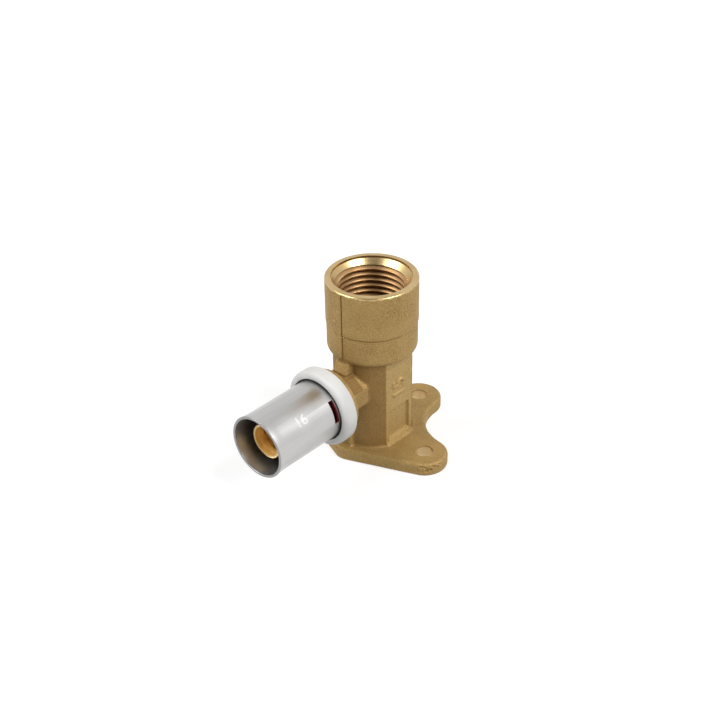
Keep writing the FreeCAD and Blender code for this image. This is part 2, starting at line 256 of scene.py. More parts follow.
class Finishes(bpy.types.PropertyGroup):
    """Colours and sheen of the materials"""

    forged: colour("Forged brass", "Sand-blasted brass", (0.44, 0.295, 0.106))
    # Dark brass: the blasted skin's pits, and painted shade in hollows and at the screw holes' mouths.
    forged_dark_and_shade: colour("Forged brass, dark", "Pits and hollows of the blasted skin", (0.27, 0.163, 0.05))
    # Painted shade: darker brass that stands in for the shade on the round column under the socket and on
    # the neck's top.
    forged_column_shade: colour("Forged brass, column", "Column, less blasted than the rest", (0.20, 0.105, 0.025))
    # Lighter brass: wear and a painted highlight on rubbed edges, and painted light on the column's flats.
    forged_worn_and_lit: colour("Forged brass, worn", "Rubbed edges of the forging", (0.66, 0.48, 0.21))
    cloud_share: share("Cloud share", "How far clouds hide the speckle", 0.55)
    # Painted shade: how far the column takes the darker brass.
    column_shade_share: share("Column share", "How far the column takes its own colour", 0.6)
    # Painted shade: how far the neck's top takes the column's darker brass.
    neck_shade_share: share("Neck share", "How far the neck's top takes the column's colour", 0.75)
    # Painted light: how far the column's flats take the lighter brass.
    panel_light_share: share("Panel share", "How far the column's flats take the worn colour", 0.22)
    # Painted shade: how far hollows take the dark brass.
    hollow_shade_share: share("Hollow share", "How far hollows take the dark colour", 0.75)
    # Partly wear, partly a painted highlight: how far convex edges take the lighter brass.
    worn_and_lit_share: share("Worn share", "How far rubbed edges take the worn colour", 0.6)
    turned: colour("Turned brass", "Freshly turned brass", (0.60, 0.44, 0.22))
    turned_dark: colour("Turned brass, dark", "Tool marks in turned brass", (0.50, 0.35, 0.16))
    # Painted shade: brass darker and redder than the turned brass, for the thread inside the socket.
    threaded_shade: colour("Threaded brass", "Flanks of the thread", (0.47, 0.29, 0.145))
    threaded_shade_dark: colour("Threaded brass, dark", "Tool marks on the thread", (0.38, 0.215, 0.085))
    turned_roughness: share("Turned roughness", "Roughness of the turned brass, at most", 0.35)
    threaded_roughness: share("Thread roughness", "Roughness of the thread's flanks, at most", 0.46)
    # Painted light: bright gold that stands in for light inside the tail's counterbore.
    bored_lit: colour("Bored brass", "Counterbore at the tail's end", (0.95, 0.62, 0.2))
    bored_lit_dark: colour("Bored brass, dark", "Tool marks in the counterbore", (0.7, 0.4, 0.1))
    # Painted shade: red-brown that stands in for the dark brass seen through the sight windows.
    stop: colour("Pipe stop", "Red-brown stop under the sight windows", (0.4, 0.035, 0.045))
    window_shade_dark: colour("Pipe stop, dark", "Darker streaks of the stop", (0.3, 0.022, 0.03))
    # Partly machined brass, partly painted light: the screw holes' walls are lighter than turned brass.
    drilled: colour("Drilled brass", "Walls of the screw holes", (0.80, 0.64, 0.37))
    drilled_dark: colour("Drilled brass, dark", "Drill marks in the screw holes", (0.62, 0.47, 0.25))
    steel: colour("Steel", "Satin stainless steel", (0.52, 0.515, 0.51))
    steel_streak: colour("Steel streaks", "Drawing marks along the tube", (0.48, 0.475, 0.47))
    # Painted shade: darker steel on the lip at the sleeve's mouth.
    cut_steel: colour("Cut steel", "Rolled end of the sleeve", (0.34, 0.335, 0.33))
    lip_steel_shade_dark: colour("Cut steel, dark", "Marks on the sleeve's rolled end", (0.26, 0.255, 0.25))
    etched: colour("Etched steel", "Etched figures", (0.66, 0.66, 0.655))
    plastic: colour("Ring plastic", "White moulded plastic", (0.63, 0.63, 0.615))
    plastic_shade: colour("Ring plastic, dull", "Dull patches of the plastic", (0.57, 0.57, 0.56))
    # Painted shade: two greys that stand in for the shade in the ring's mouth round the sleeve.
    ring_mouth_shade: colour("Ring recess", "Grey of the ring's mouth round the sleeve", (0.24, 0.24, 0.23))
    ring_mouth_shade_pale: colour("Ring recess, dusty", "Dust in the ring's mouth", (0.3, 0.3, 0.29))
    rubber: colour("Rubber", "Black seal rubber", (0.016, 0.015, 0.015))
    rubber_dust: colour("Rubber dust", "Bloom on the rubber", (0.05, 0.048, 0.046))
    floor: colour("Floor", "Pale floor", (0.42, 0.42, 0.42))


class StageSettings(bpy.types.PropertyGroup):
    """Camera and light of the stage"""

    azimuth: angle("Azimuth", "Camera round the part, from -Y towards +X", 42.788)
    elevation: angle("Elevation", "Camera above the floor", 33.058)
    roll: angle("Roll", "Camera turned about its own axis", -1.023)
    distance: length("Distance", "Camera from the part's origin, along its axis", 385.651 * MM)
    lens: FloatProperty(name="Lens", description="Focal length", default=63.48, unit="CAMERA")
    origin_right: length("Origin right", "Part's origin right of the picture's middle", 4.106 * MM)
    origin_down: length("Origin down", "Part's origin below the picture's middle", 22.926 * MM)
    floor_size: length("Floor size", "Width of the floor", 6.0)
    left_strength: lamp("Left light", "Strength of the left light", 2.0)
    left_azimuth: angle("Left azimuth", "Left light round the part, from -Y towards +X", -36)
    left_elevation: angle("Left elevation", "Left light above the floor", 45)
    right_strength: lamp("Right light", "Strength of the right light", 2.4)
    right_azimuth: angle("Right azimuth", "Right light round the part, from -Y towards +X", 96)
    right_elevation: angle("Right elevation", "Right light above the floor", 46)
    light_spread: angle("Light spread", "Apparent size of each light", 32)
    fill_strength: share("Fill light", "Light from all round", 0.3)
    tent_low: angle("Tent wall", "Height up to which the surroundings are white", 60)
    tent_high: angle("Tent roof", "Height from which the surroundings are dimmer", 78)
    roof_strength: share("Roof strength", "Light from overhead", 0.2)
    opening_elevation: angle("Opening elevation", "Height of the dark opening at the camera", 45)
    opening_inner: angle("Opening", "Half width of the dark opening", 16)
    opening_outer: angle("Opening edge", "Half width at which the surroundings are white again", 36)
    opening_strength: share("Opening strength", "Light from the opening", 0.15)
    floor_lift: share("Floor lift", "Light added to the floor as the background shows it", 0.64)


def deselect():
    if bpy.context.object and bpy.context.object.mode != "OBJECT":
        bpy.ops.object.mode_set(mode="OBJECT")
    bpy.ops.object.select_all(action="DESELECT")


def activate(piece):
    deselect()
    piece.select_set(True)
    bpy.context.view_layer.objects.active = piece


def edit_all(piece):
    activate(piece)
    bpy.ops.object.mode_set(mode="EDIT")
    bpy.ops.mesh.select_all(action="SELECT")


def settle(piece):
    """Puts an object's place into its mesh."""
    activate(piece)
    bpy.ops.object.transform_apply(location=True, rotation=True, scale=True)


def clean_mesh(piece):
    """Merges doubled points and turns all faces outwards."""
    edit_all(piece)
    bpy.ops.mesh.remove_doubles(threshold=0.001 * MM)
    bpy.ops.mesh.normals_make_consistent(inside=False)
    bpy.ops.object.mode_set(mode="OBJECT")


def modify(piece, kind, **settings):
    """Adds one modifier and applies it."""
    activate(piece)
    modifier = piece.modifiers.new(kind.lower(), kind)
    for name, value in settings.items():
        setattr(modifier, name, value)
    bpy.ops.object.modifier_apply(modifier=modifier.name)


def cut(piece, cutter):
    """Takes the cutter's shape out of a piece."""
    modify(piece, "BOOLEAN", operation="DIFFERENCE", solver="MANIFOLD", object=cutter)
    bpy.data.objects.remove(cutter)


def join(piece, others):
    activate(piece)
    for other in others:
        other.select_set(True)
    bpy.ops.object.join()


def smooth(piece, degrees):
    activate(piece)
    bpy.ops.object.shade_smooth_by_angle(angle=math.radians(degrees))


def arc(centre, radius, start, end, steps):
    """Points of an arc in a (radius, distance) outline, by degrees."""
    points = []
    for step in range(steps + 1):
        turn = math.radians(start + (end - start) * step / steps)
        points.append((centre[0] + radius * math.cos(turn), centre[1] + radius * math.sin(turn)))
    return points


def turned(name, outline, segments, solid):
    """Turns a (radius, height) outline about Z: a solid from end to end, or a closed ring."""
    deselect()
    fill = "NGON" if solid else "NOTHING"
    first_radius, first_height = outline[0]
    bpy.ops.mesh.primitive_circle_add(
        vertices=segments, radius=first_radius, fill_type=fill, location=(0, 0, first_height))
    piece = bpy.context.object
    piece.name = name
    settle(piece)
    edit_all(piece)
    path = outline if solid else outline + outline[:1]
    for (radius, height), (next_radius, next_height) in zip(path, path[1:]):
        rise = (0, 0, next_height - height)
        bpy.ops.mesh.extrude_region_move(TRANSFORM_OT_translate={"value": rise})
        ratio = next_radius / radius
        bpy.ops.transform.resize(value=(ratio, ratio, 1), center_override=(0, 0, next_height))
    clean_mesh(piece)
    return piece


def prism(name, outline, width):
    """Draws a (distance, height) outline towards -Y and extrudes it along X about the middle plane."""
    deselect()
    bpy.ops.mesh.primitive_circle_add(vertices=len(outline), radius=width, fill_type="NGON")
    piece = bpy.context.object
    piece.name = name
    for vertex, (distance, height) in zip(piece.data.vertices, outline):
        vertex.co = (-width / 2, -distance, height)
    edit_all(piece)
    bpy.ops.mesh.extrude_region_move(TRANSFORM_OT_translate={"value": (width, 0, 0)})
    clean_mesh(piece)
    return piece


def lay_on_tail(piece, tail):
    """Moves a piece turned about Z onto the tail's axis."""
    piece.rotation_euler = (math.pi / 2, 0, 0)
    piece.location = (0, 0, tail.axis_height)
    settle(piece)


def from_tail_axis(point, tail):
    return math.hypot(point.x, point.z - tail.axis_height)


def flat_half(forging):
    """Half the width of each flat on the column."""
    return math.sqrt(forging.column_radius ** 2 - forging.flat_distance ** 2)


def finish(piece, slot, *materials):
    """Gives a piece its materials and its body; the slot is not used."""
    piece.data.materials.clear()
    for material in materials:
        piece.data.materials.append(material)
    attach(piece, "root")


class NodeMaker:
    """Adds nodes to a node tree and joins them up."""

    def __init__(self, owner):
        owner.use_nodes = True
        self.nodes = owner.node_tree.nodes
        self.links = owner.node_tree.links

    def put(self, socket, value):
        if isinstance(value, bpy.types.NodeSocket):
            self.links.new(value, socket)
        else:
            socket.default_value = value

    def node(self, kind, inputs, **settings):
        node = self.nodes.new("ShaderNode" + kind)
        for name, value in settings.items():
            setattr(node, name, value)
        for name, value in inputs.items():
            self.put(node.inputs[name], value)
        return node

    def spread(self, value, low, high, to_low=0.0, to_high=1.0):
        inputs = {"Value": value, "From Min": low, "From Max": high, "To Min": to_low, "To Max": to_high}
        return self.node("MapRange", inputs).outputs["Result"]

    def maths(self, operation, first, second):
        return self.node("Math", {0: first, 1: second}, operation=operation).outputs[0]

    def product(self, first, *others):
        for other in others:
            first = self.maths("MULTIPLY", first, other)
        return first

    def background_rays(self):
        """One for rays that show the background, directly, by reflection or through glass."""
        path = self.node("LightPath", {}).outputs
        mirrored = self.maths("MAXIMUM", path["Is Glossy Ray"], path["Is Transmission Ray"])
        return self.maths("MAXIMUM", path["Is Camera Ray"], mirrored)


class Shader(NodeMaker):
    """Builds one Principled material from nodes."""

    def __init__(self, name):
        self.material = bpy.data.materials.get(name) or bpy.data.materials.new(name)
        super().__init__(self.material)
        self.surface = self.nodes["Principled BSDF"]
        self.place = self.nodes.new("ShaderNodeTexCoord").outputs["Object"]

    def split(self):
        """X, Y and Z of the place on the piece."""
        return self.node("SeparateXYZ", {"Vector": self.place}).outputs

    def noise(self, scale, detail=3.0, stretch=(1, 1, 1)):
        place = self.node("Mapping", {"Vector": self.place, "Scale": stretch}).outputs["Vector"]
        return self.node("TexNoise", {"Vector": place, "Scale": scale, "Detail": detail}).outputs["Fac"]

    def between(self, value, low, high, blur=0.15 * MM):
        """One where a length lies between two limits, fading over the blur at each."""
        above = self.spread(value, low - blur, low + blur)
        below = self.spread(value, high + blur, high - blur)
        return self.product(above, below)

    def blend(self, factor, first, second):
        node = self.node("Mix", {}, data_type="RGBA")
        self.put(node.inputs["Factor"], factor)
        self.put(node.inputs[MIX_FIRST], first)
        self.put(node.inputs[MIX_SECOND], second)
        return node.outputs[MIX_RESULT]

    def tint(self, pattern, colours, tones=EVEN):
        """Goes from the first colour to the second with a pattern."""
        first, second = colours
        return self.blend(self.spread(pattern, *tones), opaque(first), opaque(second))

    def sheen(self, pattern, roughness):
        """Goes from the first roughness to the second with a pattern."""
        return self.spread(pattern, *EVEN, *roughness)

    def bump(self, height, distance, strength, normal=None):
        inputs = {"Height": height, "Distance": distance, "Strength": strength}
        if normal is not None:
            inputs["Normal"] = normal
        return self.node("Bump", inputs).outputs["Normal"]

    def finish(self, **inputs):
        for name, value in inputs.items():
            self.put(self.surface.inputs[name.replace("_", " ")], value)
        return self.material


def opaque(value):
    return (value[0], value[1], value[2], 1.0)


def forged_brass(finishes, forging, tail):
    """Blasted skin with a speckle; painted shade on the column, on the neck's top and in hollows; painted
    light on the flats; lighter rubbed edges, partly wear and partly a painted highlight.
    """
    shader = Shader("forged_brass")
    grain = shader.noise(scale=2600, detail=4)
    pits = shader.noise(scale=1100)
    clouds = shader.noise(scale=150)
    edges = shader.node("NewGeometry", {}).outputs["Pointiness"]
    worn_and_lit = shader.product(shader.spread(edges, *RUBBED_AND_LIT), shader.spread(pits, *PITTED))
    tint = shader.tint(grain, (finishes.forged_dark_and_shade, finishes.forged), SPECKLE)
    for zone, part, cover in (
        (shader.spread(clouds, *CLOUDY), finishes.cloud_share, finishes.forged),
        (column_shade_zone(shader, forging), finishes.column_shade_share, finishes.forged_column_shade),
        (neck_shade_zone(shader, forging, tail), finishes.neck_shade_share, finishes.forged_column_shade),
        (panel_light_zone(shader, forging), finishes.panel_light_share, finishes.forged_worn_and_lit),
        (shader.spread(edges, *HOLLOW_SHADE), finishes.hollow_shade_share, finishes.forged_dark_and_shade),
        (worn_and_lit, finishes.worn_and_lit_share, finishes.forged_worn_and_lit),
    ):
        tint = shader.blend(shader.product(zone, part), tint, opaque(cover))
    normal = shader.bump(pits, distance=0.12 * MM, strength=0.5)
    normal = shader.bump(grain, distance=0.06 * MM, strength=0.6, normal=normal)
    roughness = shader.sheen(grain, (0.7, 0.58))
    return shader.finish(Base_Color=tint, Roughness=roughness, Normal=normal, Metallic=0.5)


def column_shade_zone(shader, forging):
    """Mask of the painted shade on the round column under the socket: one there, nought on its flats and
    everywhere else.
    """
    near, far = 0.1 * MM, 0.6 * MM
    radius, half = forging.column_radius, flat_half(forging)
    level = shader.node("VectorMath", {0: shader.place, 1: (1, 1, 0)}, operation="MULTIPLY")
    out = shader.node("VectorMath", {0: level.outputs["Vector"]}, operation="LENGTH").outputs["Value"]
    place = shader.split()
    inside = shader.spread(out, radius + far, radius + near)
    rounded = shader.spread(shader.maths("ABSOLUTE", place["Y"], 0), half - near, half + near)
    under = shader.spread(place["Z"], forging.parting_bottom, forging.parting_bottom - far)
    return shader.product(inside, rounded, under)


def panel_light_zone(shader, forging):
    """Mask of the painted light on the two flats of the column and in their pockets: one there."""
    half = flat_half(forging)
    place = shader.split()
    out = shader.maths("ABSOLUTE", place["X"], 0)
    beside = shader.maths("ABSOLUTE", place["Y"], 0)
    outside = shader.between(out, forging.flat_distance - forging.pocket_reach, forging.column_radius)
    across = shader.between(beside, -half, half)
    upright = shader.between(place["Z"], forging.ledge_height + forging.foot_spread, forging.socket_bottom)
    return shader.product(outside, across, upright)


def neck_shade_zone(shader, forging, tail):
    """Mask of the painted shade on the slanted top of the neck, between the column and the collar."""
    place = shader.split()
    along = shader.between(place["Y"], forging.neck_shade_front - tail.collar_front, -forging.column_radius)
    upright = shader.between(place["Z"], tail.axis_height + forging.neck_shade_height, forging.rib_foot)
    return shader.product(along, upright)


def turned_brass(name, axis, colours, roughest):
    """Brass with fine marks across the axis that it was turned about."""
    shader = Shader(name)
    stretch = tuple(1.0 if index == axis else 0.04 for index in range(3))
    marks = shader.noise(scale=5200, detail=2, stretch=stretch)
    smears = shader.noise(scale=240)
    smoothest = roughest - 0.12
    normal = shader.bump(marks, distance=0.02 * MM, strength=0.35)
    return shader.finish(
        Base_Color=shader.tint(marks, colours), Roughness=shader.sheen(smears, (smoothest, roughest)),
        Normal=normal, Metallic=1.0)


def drilled_brass(finishes, forging):
    """Wall of a screw hole, lighter than the forging, partly as machined brass and partly as painted light,
    with painted shade at its mouth.
    """
    shader = Shader("drilled_brass")
    marks = shader.noise(scale=3600, stretch=(0.1, 0.1, 1))
    shade_start = forging.plate_thickness - 0.8 * MM
    shade_end = forging.plate_thickness - 0.2 * MM
    # Painted shade: the wall darkens towards the hole's mouth.
    mouth = shader.spread(shader.split()["Z"], shade_start, shade_end, to_high=0.8)
    clean = shader.tint(marks, (finishes.drilled_dark, finishes.drilled))
    tint = shader.blend(mouth, clean, opaque(finishes.forged_dark_and_shade))
    normal = shader.bump(marks, distance=0.03 * MM, strength=0.4)
    return shader.finish(
        Base_Color=tint, Roughness=shader.sheen(marks, (0.45, 0.6)), Normal=normal, Metallic=0.8)


def plain_finish(name, colours, pattern, roughness, relief, tones=EVEN, metallic=0.0):
    """Finish whose one pattern gives the colour, the roughness and the bump."""
    shader = Shader(name)
    marks = shader.noise(**pattern)
    normal = shader.bump(marks, distance=0.02 * MM, strength=relief)
    return shader.finish(
        Base_Color=shader.tint(marks, colours, tones), Roughness=shader.sheen(marks, roughness),
        Normal=normal, Metallic=metallic)


# Painted light: the counterbore's brass is lightened to stand in for light inside it.
def bored_brass(finishes):
    return plain_finish(
        "bored_brass", (finishes.bored_lit_dark, finishes.bored_lit), {"scale": 1500, "stretch": (0.3, 1, 0.3)},
        roughness=(0.3, 0.42), relief=0.4, tones=(0.35, 0.65), metallic=0.35)


# Painted shade: red-brown for the tail under the sight windows and for the windows' walls.
def stained_stop(finishes):
    return plain_finish(
        "stained_stop", (finishes.window_shade_dark, finishes.stop), {"scale": 1400, "stretch": (1, 0.1, 1)},
        roughness=(0.4, 0.55), relief=0.4, metallic=0.2)


# Painted shade in the ring's mouth round the sleeve.
def ring_recess(finishes):
    return plain_finish(
        "ring_recess", (finishes.ring_mouth_shade, finishes.ring_mouth_shade_pale), {"scale": 1500},
        roughness=(0.6, 0.8), relief=0.3, tones=(0.4, 0.7))


def etched_steel(finishes):
    return plain_finish(
        "etched_steel", (finishes.steel, finishes.etched), {"scale": 5200},
        roughness=(0.5, 0.62), relief=0.5, metallic=0.9)


def seal_rubber(finishes):
    return plain_finish(
        "seal_rubber", (finishes.rubber, finishes.rubber_dust), {"scale": 900, "detail": 4},
        roughness=(0.38, 0.6), relief=0.4, tones=(0.45, 0.75))


def satin_steel(name, colours):
    """Steel with fine marks along the tube and slow smears in its sheen."""
    shader = Shader(name)
    streaks = shader.noise(scale=2600, stretch=(1, 0.03, 1))
    smears = shader.noise(scale=130)
    normal = shader.bump(streaks, distance=0.01 * MM, strength=0.3)
    normal = shader.bump(smears, distance=0.15 * MM, strength=0.25, normal=normal)
    return shader.finish(
        Base_Color=shader.tint(streaks, colours), Roughness=shader.sheen(smears, (0.32, 0.42)),
        Normal=normal, Metallic=1.0)


def white_plastic(finishes):
    """Moulded plastic with fine pores and slow dull patches."""
    shader = Shader("white_plastic")
    clouds = shader.noise(scale=170)
    pores = shader.noise(scale=4200)
    tint = shader.tint(clouds, (finishes.plastic, finishes.plastic_shade), tones=(0.35, 0.7))
    normal = shader.bump(pores, distance=0.02 * MM, strength=0.35)
    normal = shader.bump(clouds, distance=0.2 * MM, strength=0.2, normal=normal)
    return shader.finish(
        Base_Color=tint, Roughness=shader.sheen(pores, (0.42, 0.56)), Normal=normal,
        Subsurface_Weight=0.12, Subsurface_Scale=0.6 * MM)


def raised_text(words, height, relief):
    """A number as a closed mesh, lying in XY about its own middle."""
    deselect()
    bpy.ops.object.text_add()
    text = bpy.context.object
    text.data.body = words
    text.data.align_x = "CENTER"
    text.data.align_y = "CENTER"
    text.data.size = height / FIGURE_SHARE
    text.data.extrude = relief
    bpy.ops.object.convert(target="MESH")
    piece = bpy.context.object
    clean_mesh(piece)
    return piece


class ELBOW_OT_forge_body(bpy.types.Operator):
    """Forge the body's soft skin over its solid and machine the bores into it"""

    bl_idname = "elbow.forge_body"
    bl_label = "Forge body"

    def execute(self, context):
        forging = context.scene.elbow_forging
        tail = context.scene.elbow_tail
        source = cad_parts["brass_body"]
        body = bpy.data.objects.new("forged_body", source.data.copy())
        context.collection.objects.link(body)
        clean_mesh(body)
        join(body, self.fillings(forging, tail) + self.slopes(forging, tail) + [self.number(forging)])
        modify(body, "REMESH", mode="VOXEL", voxel_size=forging.skin_grid, use_smooth_shade=True)
        modify(body, "SMOOTH", factor=0.5, iterations=forging.skin_softening)
        self.unevenness(body, forging)
        kept = forging.skin_triangles / (2 * len(body.data.polygons))
        modify(body, "DECIMATE", ratio=min(kept, 1.0))
        cut(body, self.wall_cutter(forging))
        cut(body, self.socket_cutter(forging))
        cut(body, self.tail_cutter(forging, tail))
        cut(body, self.parting_cutter(forging))
        cut(body, self.band_cutter(forging))
        for cutter in self.hole_cutters(forging) + self.dent_cutters(forging):
            cut(body, cutter)
        smooth(body, degrees=40)
        finishes = context.scene.elbow_finishes
        skin = forged_brass(finishes, forging, tail)
        colours = (finishes.turned_dark, finishes.turned)
        bright = turned_brass("turned_socket", Z_AXIS, colours, finishes.turned_roughness)
        finish(body, "brass", skin, bright, drilled_brass(finishes, forging))
        self.mark_machined(body, forging, tail)
        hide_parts("brass_body")
        return {"FINISHED"}

    def fillings(self, forging, tail):
        """Plugs that close the bores and run past the faces that are cut later."""
        over = 1.2 * MM
        top = forging.overall_height
        low = forging.waterway_floor - forging.drill_point
        shoulder = top - forging.thread_length - forging.thread_end_slope
        bore = forging.countersink_radius + over / 2
        socket = turned("socket_filling", [
            (forging.waterway_radius + over, low),
            (forging.waterway_radius + over, shoulder - over),
            (bore, shoulder + over),
            (bore, top - over),
            (forging.socket_radius, top - over),
            (forging.socket_radius, top + over),
        ], TAIL_POINTS, True)
        collar = turned("collar_filling", [
            (forging.collar_radius, tail.collar_front - over),
            (forging.collar_radius, tail.collar_front + over),
        ], TAIL_POINTS, True)
        lay_on_tail(collar, tail)
        neck = turned("neck_filling", [
            (tail.bore_radius + over, 0),
            (tail.bore_radius + over, tail.collar_front),
        ], FILLING_POINTS, True)
        lay_on_tail(neck, tail)
        plug = forging.hole_radius + over / 2
        plugs = self.at_holes(
            forging, "hole_filling", [(plug, 0), (plug, forging.plate_thickness)], FILLING_POINTS)
        return [socket, collar, neck] + plugs

    def slopes(self, forging, tail):
        """Leaning front of the rib, and the slopes from the two ledges to the plate."""
        rib_root = forging.column_radius - 1.0 * MM
        rib_reach = forging.rib_front + forging.rib_lean
        lean = prism("rib_slope", [
            (rib_root, tail.axis_height),
            (rib_reach, tail.axis_height),
            (rib_reach, forging.rib_foot),
            (forging.rib_front, forging.socket_bottom),
            (rib_root, forging.socket_bottom),
        ], forging.rib_width)
        pieces = [lean]
        foot_root = forging.flat_distance - 0.3 * MM
        for turn in (math.pi / 2, -math.pi / 2):
            foot = prism("foot_slope", [
                (foot_root, forging.plate_thickness / 2),
                (forging.flat_distance + forging.foot_spread, forging.plate_thickness / 2),
                (forging.flat_distance + forging.foot_spread, forging.plate_thickness),
                (forging.flat_distance, forging.ledge_height),
                (foot_root, forging.ledge_height),
            ], 2 * flat_half(forging))
            foot.rotation_euler = (0, 0, turn)
            settle(foot)
            pieces.append(foot)
        return pieces

    def number(self, forging):
        """Raised number, reading upwards on the +X flat."""
        piece = raised_text(forging.number, forging.number_height, forging.number_relief)
        piece.matrix_world = Matrix((
            (0, 0, 1, forging.flat_distance),
            (0, -1, 0, 0),
            (1, 0, 0, forging.number_centre),
            (0, 0, 0, 1),
        ))
        settle(piece)
        clean_mesh(piece)
        return piece

    def unevenness(self, body, forging):
        """Slight waves that forging dies leave on the skin."""
        waves = bpy.data.textures.new("forging_waves", "CLOUDS")
        waves.noise_scale = forging.skin_wavelength
        waves.noise_depth = 2
        modify(body, "DISPLACE", texture=waves, texture_coords="LOCAL", strength=forging.skin_waviness,
               mid_level=WAVE_LEVEL)

    def socket_cutter(self, forging):
        """Bore, thread bore, countersink, rim face and rim edge as one turned tool."""
        top = forging.overall_height
        thread_end = top - forging.thread_length
        step = top - forging.countersink_step
        edge = forging.rim_edge
        ledge = 0.1 * MM
        over = 2.0 * MM
        outer = forging.socket_radius + over
        return turned("socket_cutter", [
            (BLUNT, forging.waterway_floor - forging.drill_point),
            (forging.waterway_radius, forging.waterway_floor),
            (forging.waterway_radius, thread_end - forging.thread_end_slope),
            (forging.thread_root_radius, thread_end),
            (forging.thread_root_radius, top - forging.countersink_depth),
            (forging.countersink_radius - ledge, step),
            (forging.countersink_radius, step),
            (forging.countersink_radius, top),
            *arc((forging.socket_radius - edge, top - edge), edge, 90, 0, 5),
            (outer, top - edge),
            (outer, top + over),
        ], SOCKET_POINTS, True)

    def band_cutter(self, forging):
        """Ring with a sharp inner edge for the line round the socket, which is slimmer below it."""
        over = 0.8 * MM
        slimmer = 0.2 * MM
        outer = forging.socket_radius + over
        return turned("band_cutter", [
            (forging.socket_radius - forging.band_groove - slimmer, forging.band_bottom),
            (outer, forging.band_bottom - over),
            (outer, forging.band_bottom + over),
        ], SOCKET_POINTS, False)

    def wall_cutter(self, forging):
        """Slab under the plate that leaves the wall face flat."""
        deselect()
        slab = 4 * forging.overall_height
        bpy.ops.mesh.primitive_cube_add(size=slab, location=(0, 0, -slab / 2))
        cutter = bpy.context.object
        settle(cutter)
        return cutter

    def parting_cutter(self, forging):
        """Thin wedge for the parting line down the front of the socket."""
        deselect()
        bpy.ops.mesh.primitive_cube_add(size=1)
        cutter = bpy.context.object
        low = forging.parting_bottom
        high = forging.overall_height - forging.rim_edge - low
        cutter.scale = (forging.parting_width, 2 * forging.parting_depth, high)
        cutter.location = (forging.parting_offset, -forging.socket_radius, low + high / 2)
        settle(cutter)
        return cutter

    def dent_cutters(self, forging):
        """Small knocks along the wall of the near lug."""
        cutters = []
        for degrees, height, radius in DENTS:
            turn = math.radians(degrees)
            out = forging.lug_radius + radius / 2
            place = (forging.side_hole_distance + out * math.sin(turn), -out * math.cos(turn), height)
            deselect()
            bpy.ops.mesh.primitive_ico_sphere_add(subdivisions=3, radius=radius, location=place)
            cutter = bpy.context.object
            settle(cutter)
            cutters.append(cutter)
        return cutters

    def tail_cutter(self, forging, tail):
        """Bore of the tail through the neck, and all in front of the collar's face."""
        outside = forging.socket_radius
        cutter = turned("tail_cutter", [
            (tail.bore_radius, 0),
            (tail.bore_radius, tail.collar_front),
            (outside, tail.collar_front),
            (outside, tail.end + outside),
        ], TAIL_POINTS, True)
        lay_on_tail(cutter, tail)
        return cutter

    def hole_places(self, forging):
        side = forging.side_hole_distance
        return [(side, 0), (-side, 0), (0, forging.back_hole_distance)]

    def at_holes(self, forging, name, outline, points):
        """The same turned solid at each screw hole."""
        solids = []
        for x, y in self.hole_places(forging):
            solid = turned(name, outline, points, True)
            solid.location = (x, y, 0)
            settle(solid)
            solids.append(solid)
        return solids

    def hole_cutters(self, forging):
        over = 1.0 * MM
        return self.at_holes(forging, "hole_cutter", [
            (forging.hole_radius, -over),
            (forging.hole_radius, forging.plate_thickness - forging.hole_edge),
            (forging.hole_radius + forging.hole_edge + over, forging.plate_thickness + over),
        ], HOLE_POINTS)

    def mark_machined(self, body, forging, tail):
        """Gives the drilled finish to the screw holes, and the turned one to the rim and the bores."""
        near = 0.02 * MM
        rim = forging.overall_height - forging.rim_edge - near
        thread_end = forging.overall_height - forging.thread_length - forging.thread_end_slope - near
        holes = [Vector((x, y)) for x, y in self.hole_places(forging)]
        hole_reach = forging.hole_radius + near
        for face in body.data.polygons:
            middle = face.center
            out = math.hypot(middle.x, middle.y)
            in_socket = out < forging.countersink_radius + near and middle.z > thread_end
            in_waterway = out < forging.waterway_radius + near and middle.z > forging.plate_thickness
            in_tail = middle.y < 0 and from_tail_axis(middle, tail) < tail.bore_radius + near
            in_hole = any((middle.xy - hole).length < hole_reach for hole in holes)
            if in_hole:
                face.material_index = DRILLED
            elif in_socket or in_waterway or in_tail or middle.z > rim:
                face.material_index = TURNED


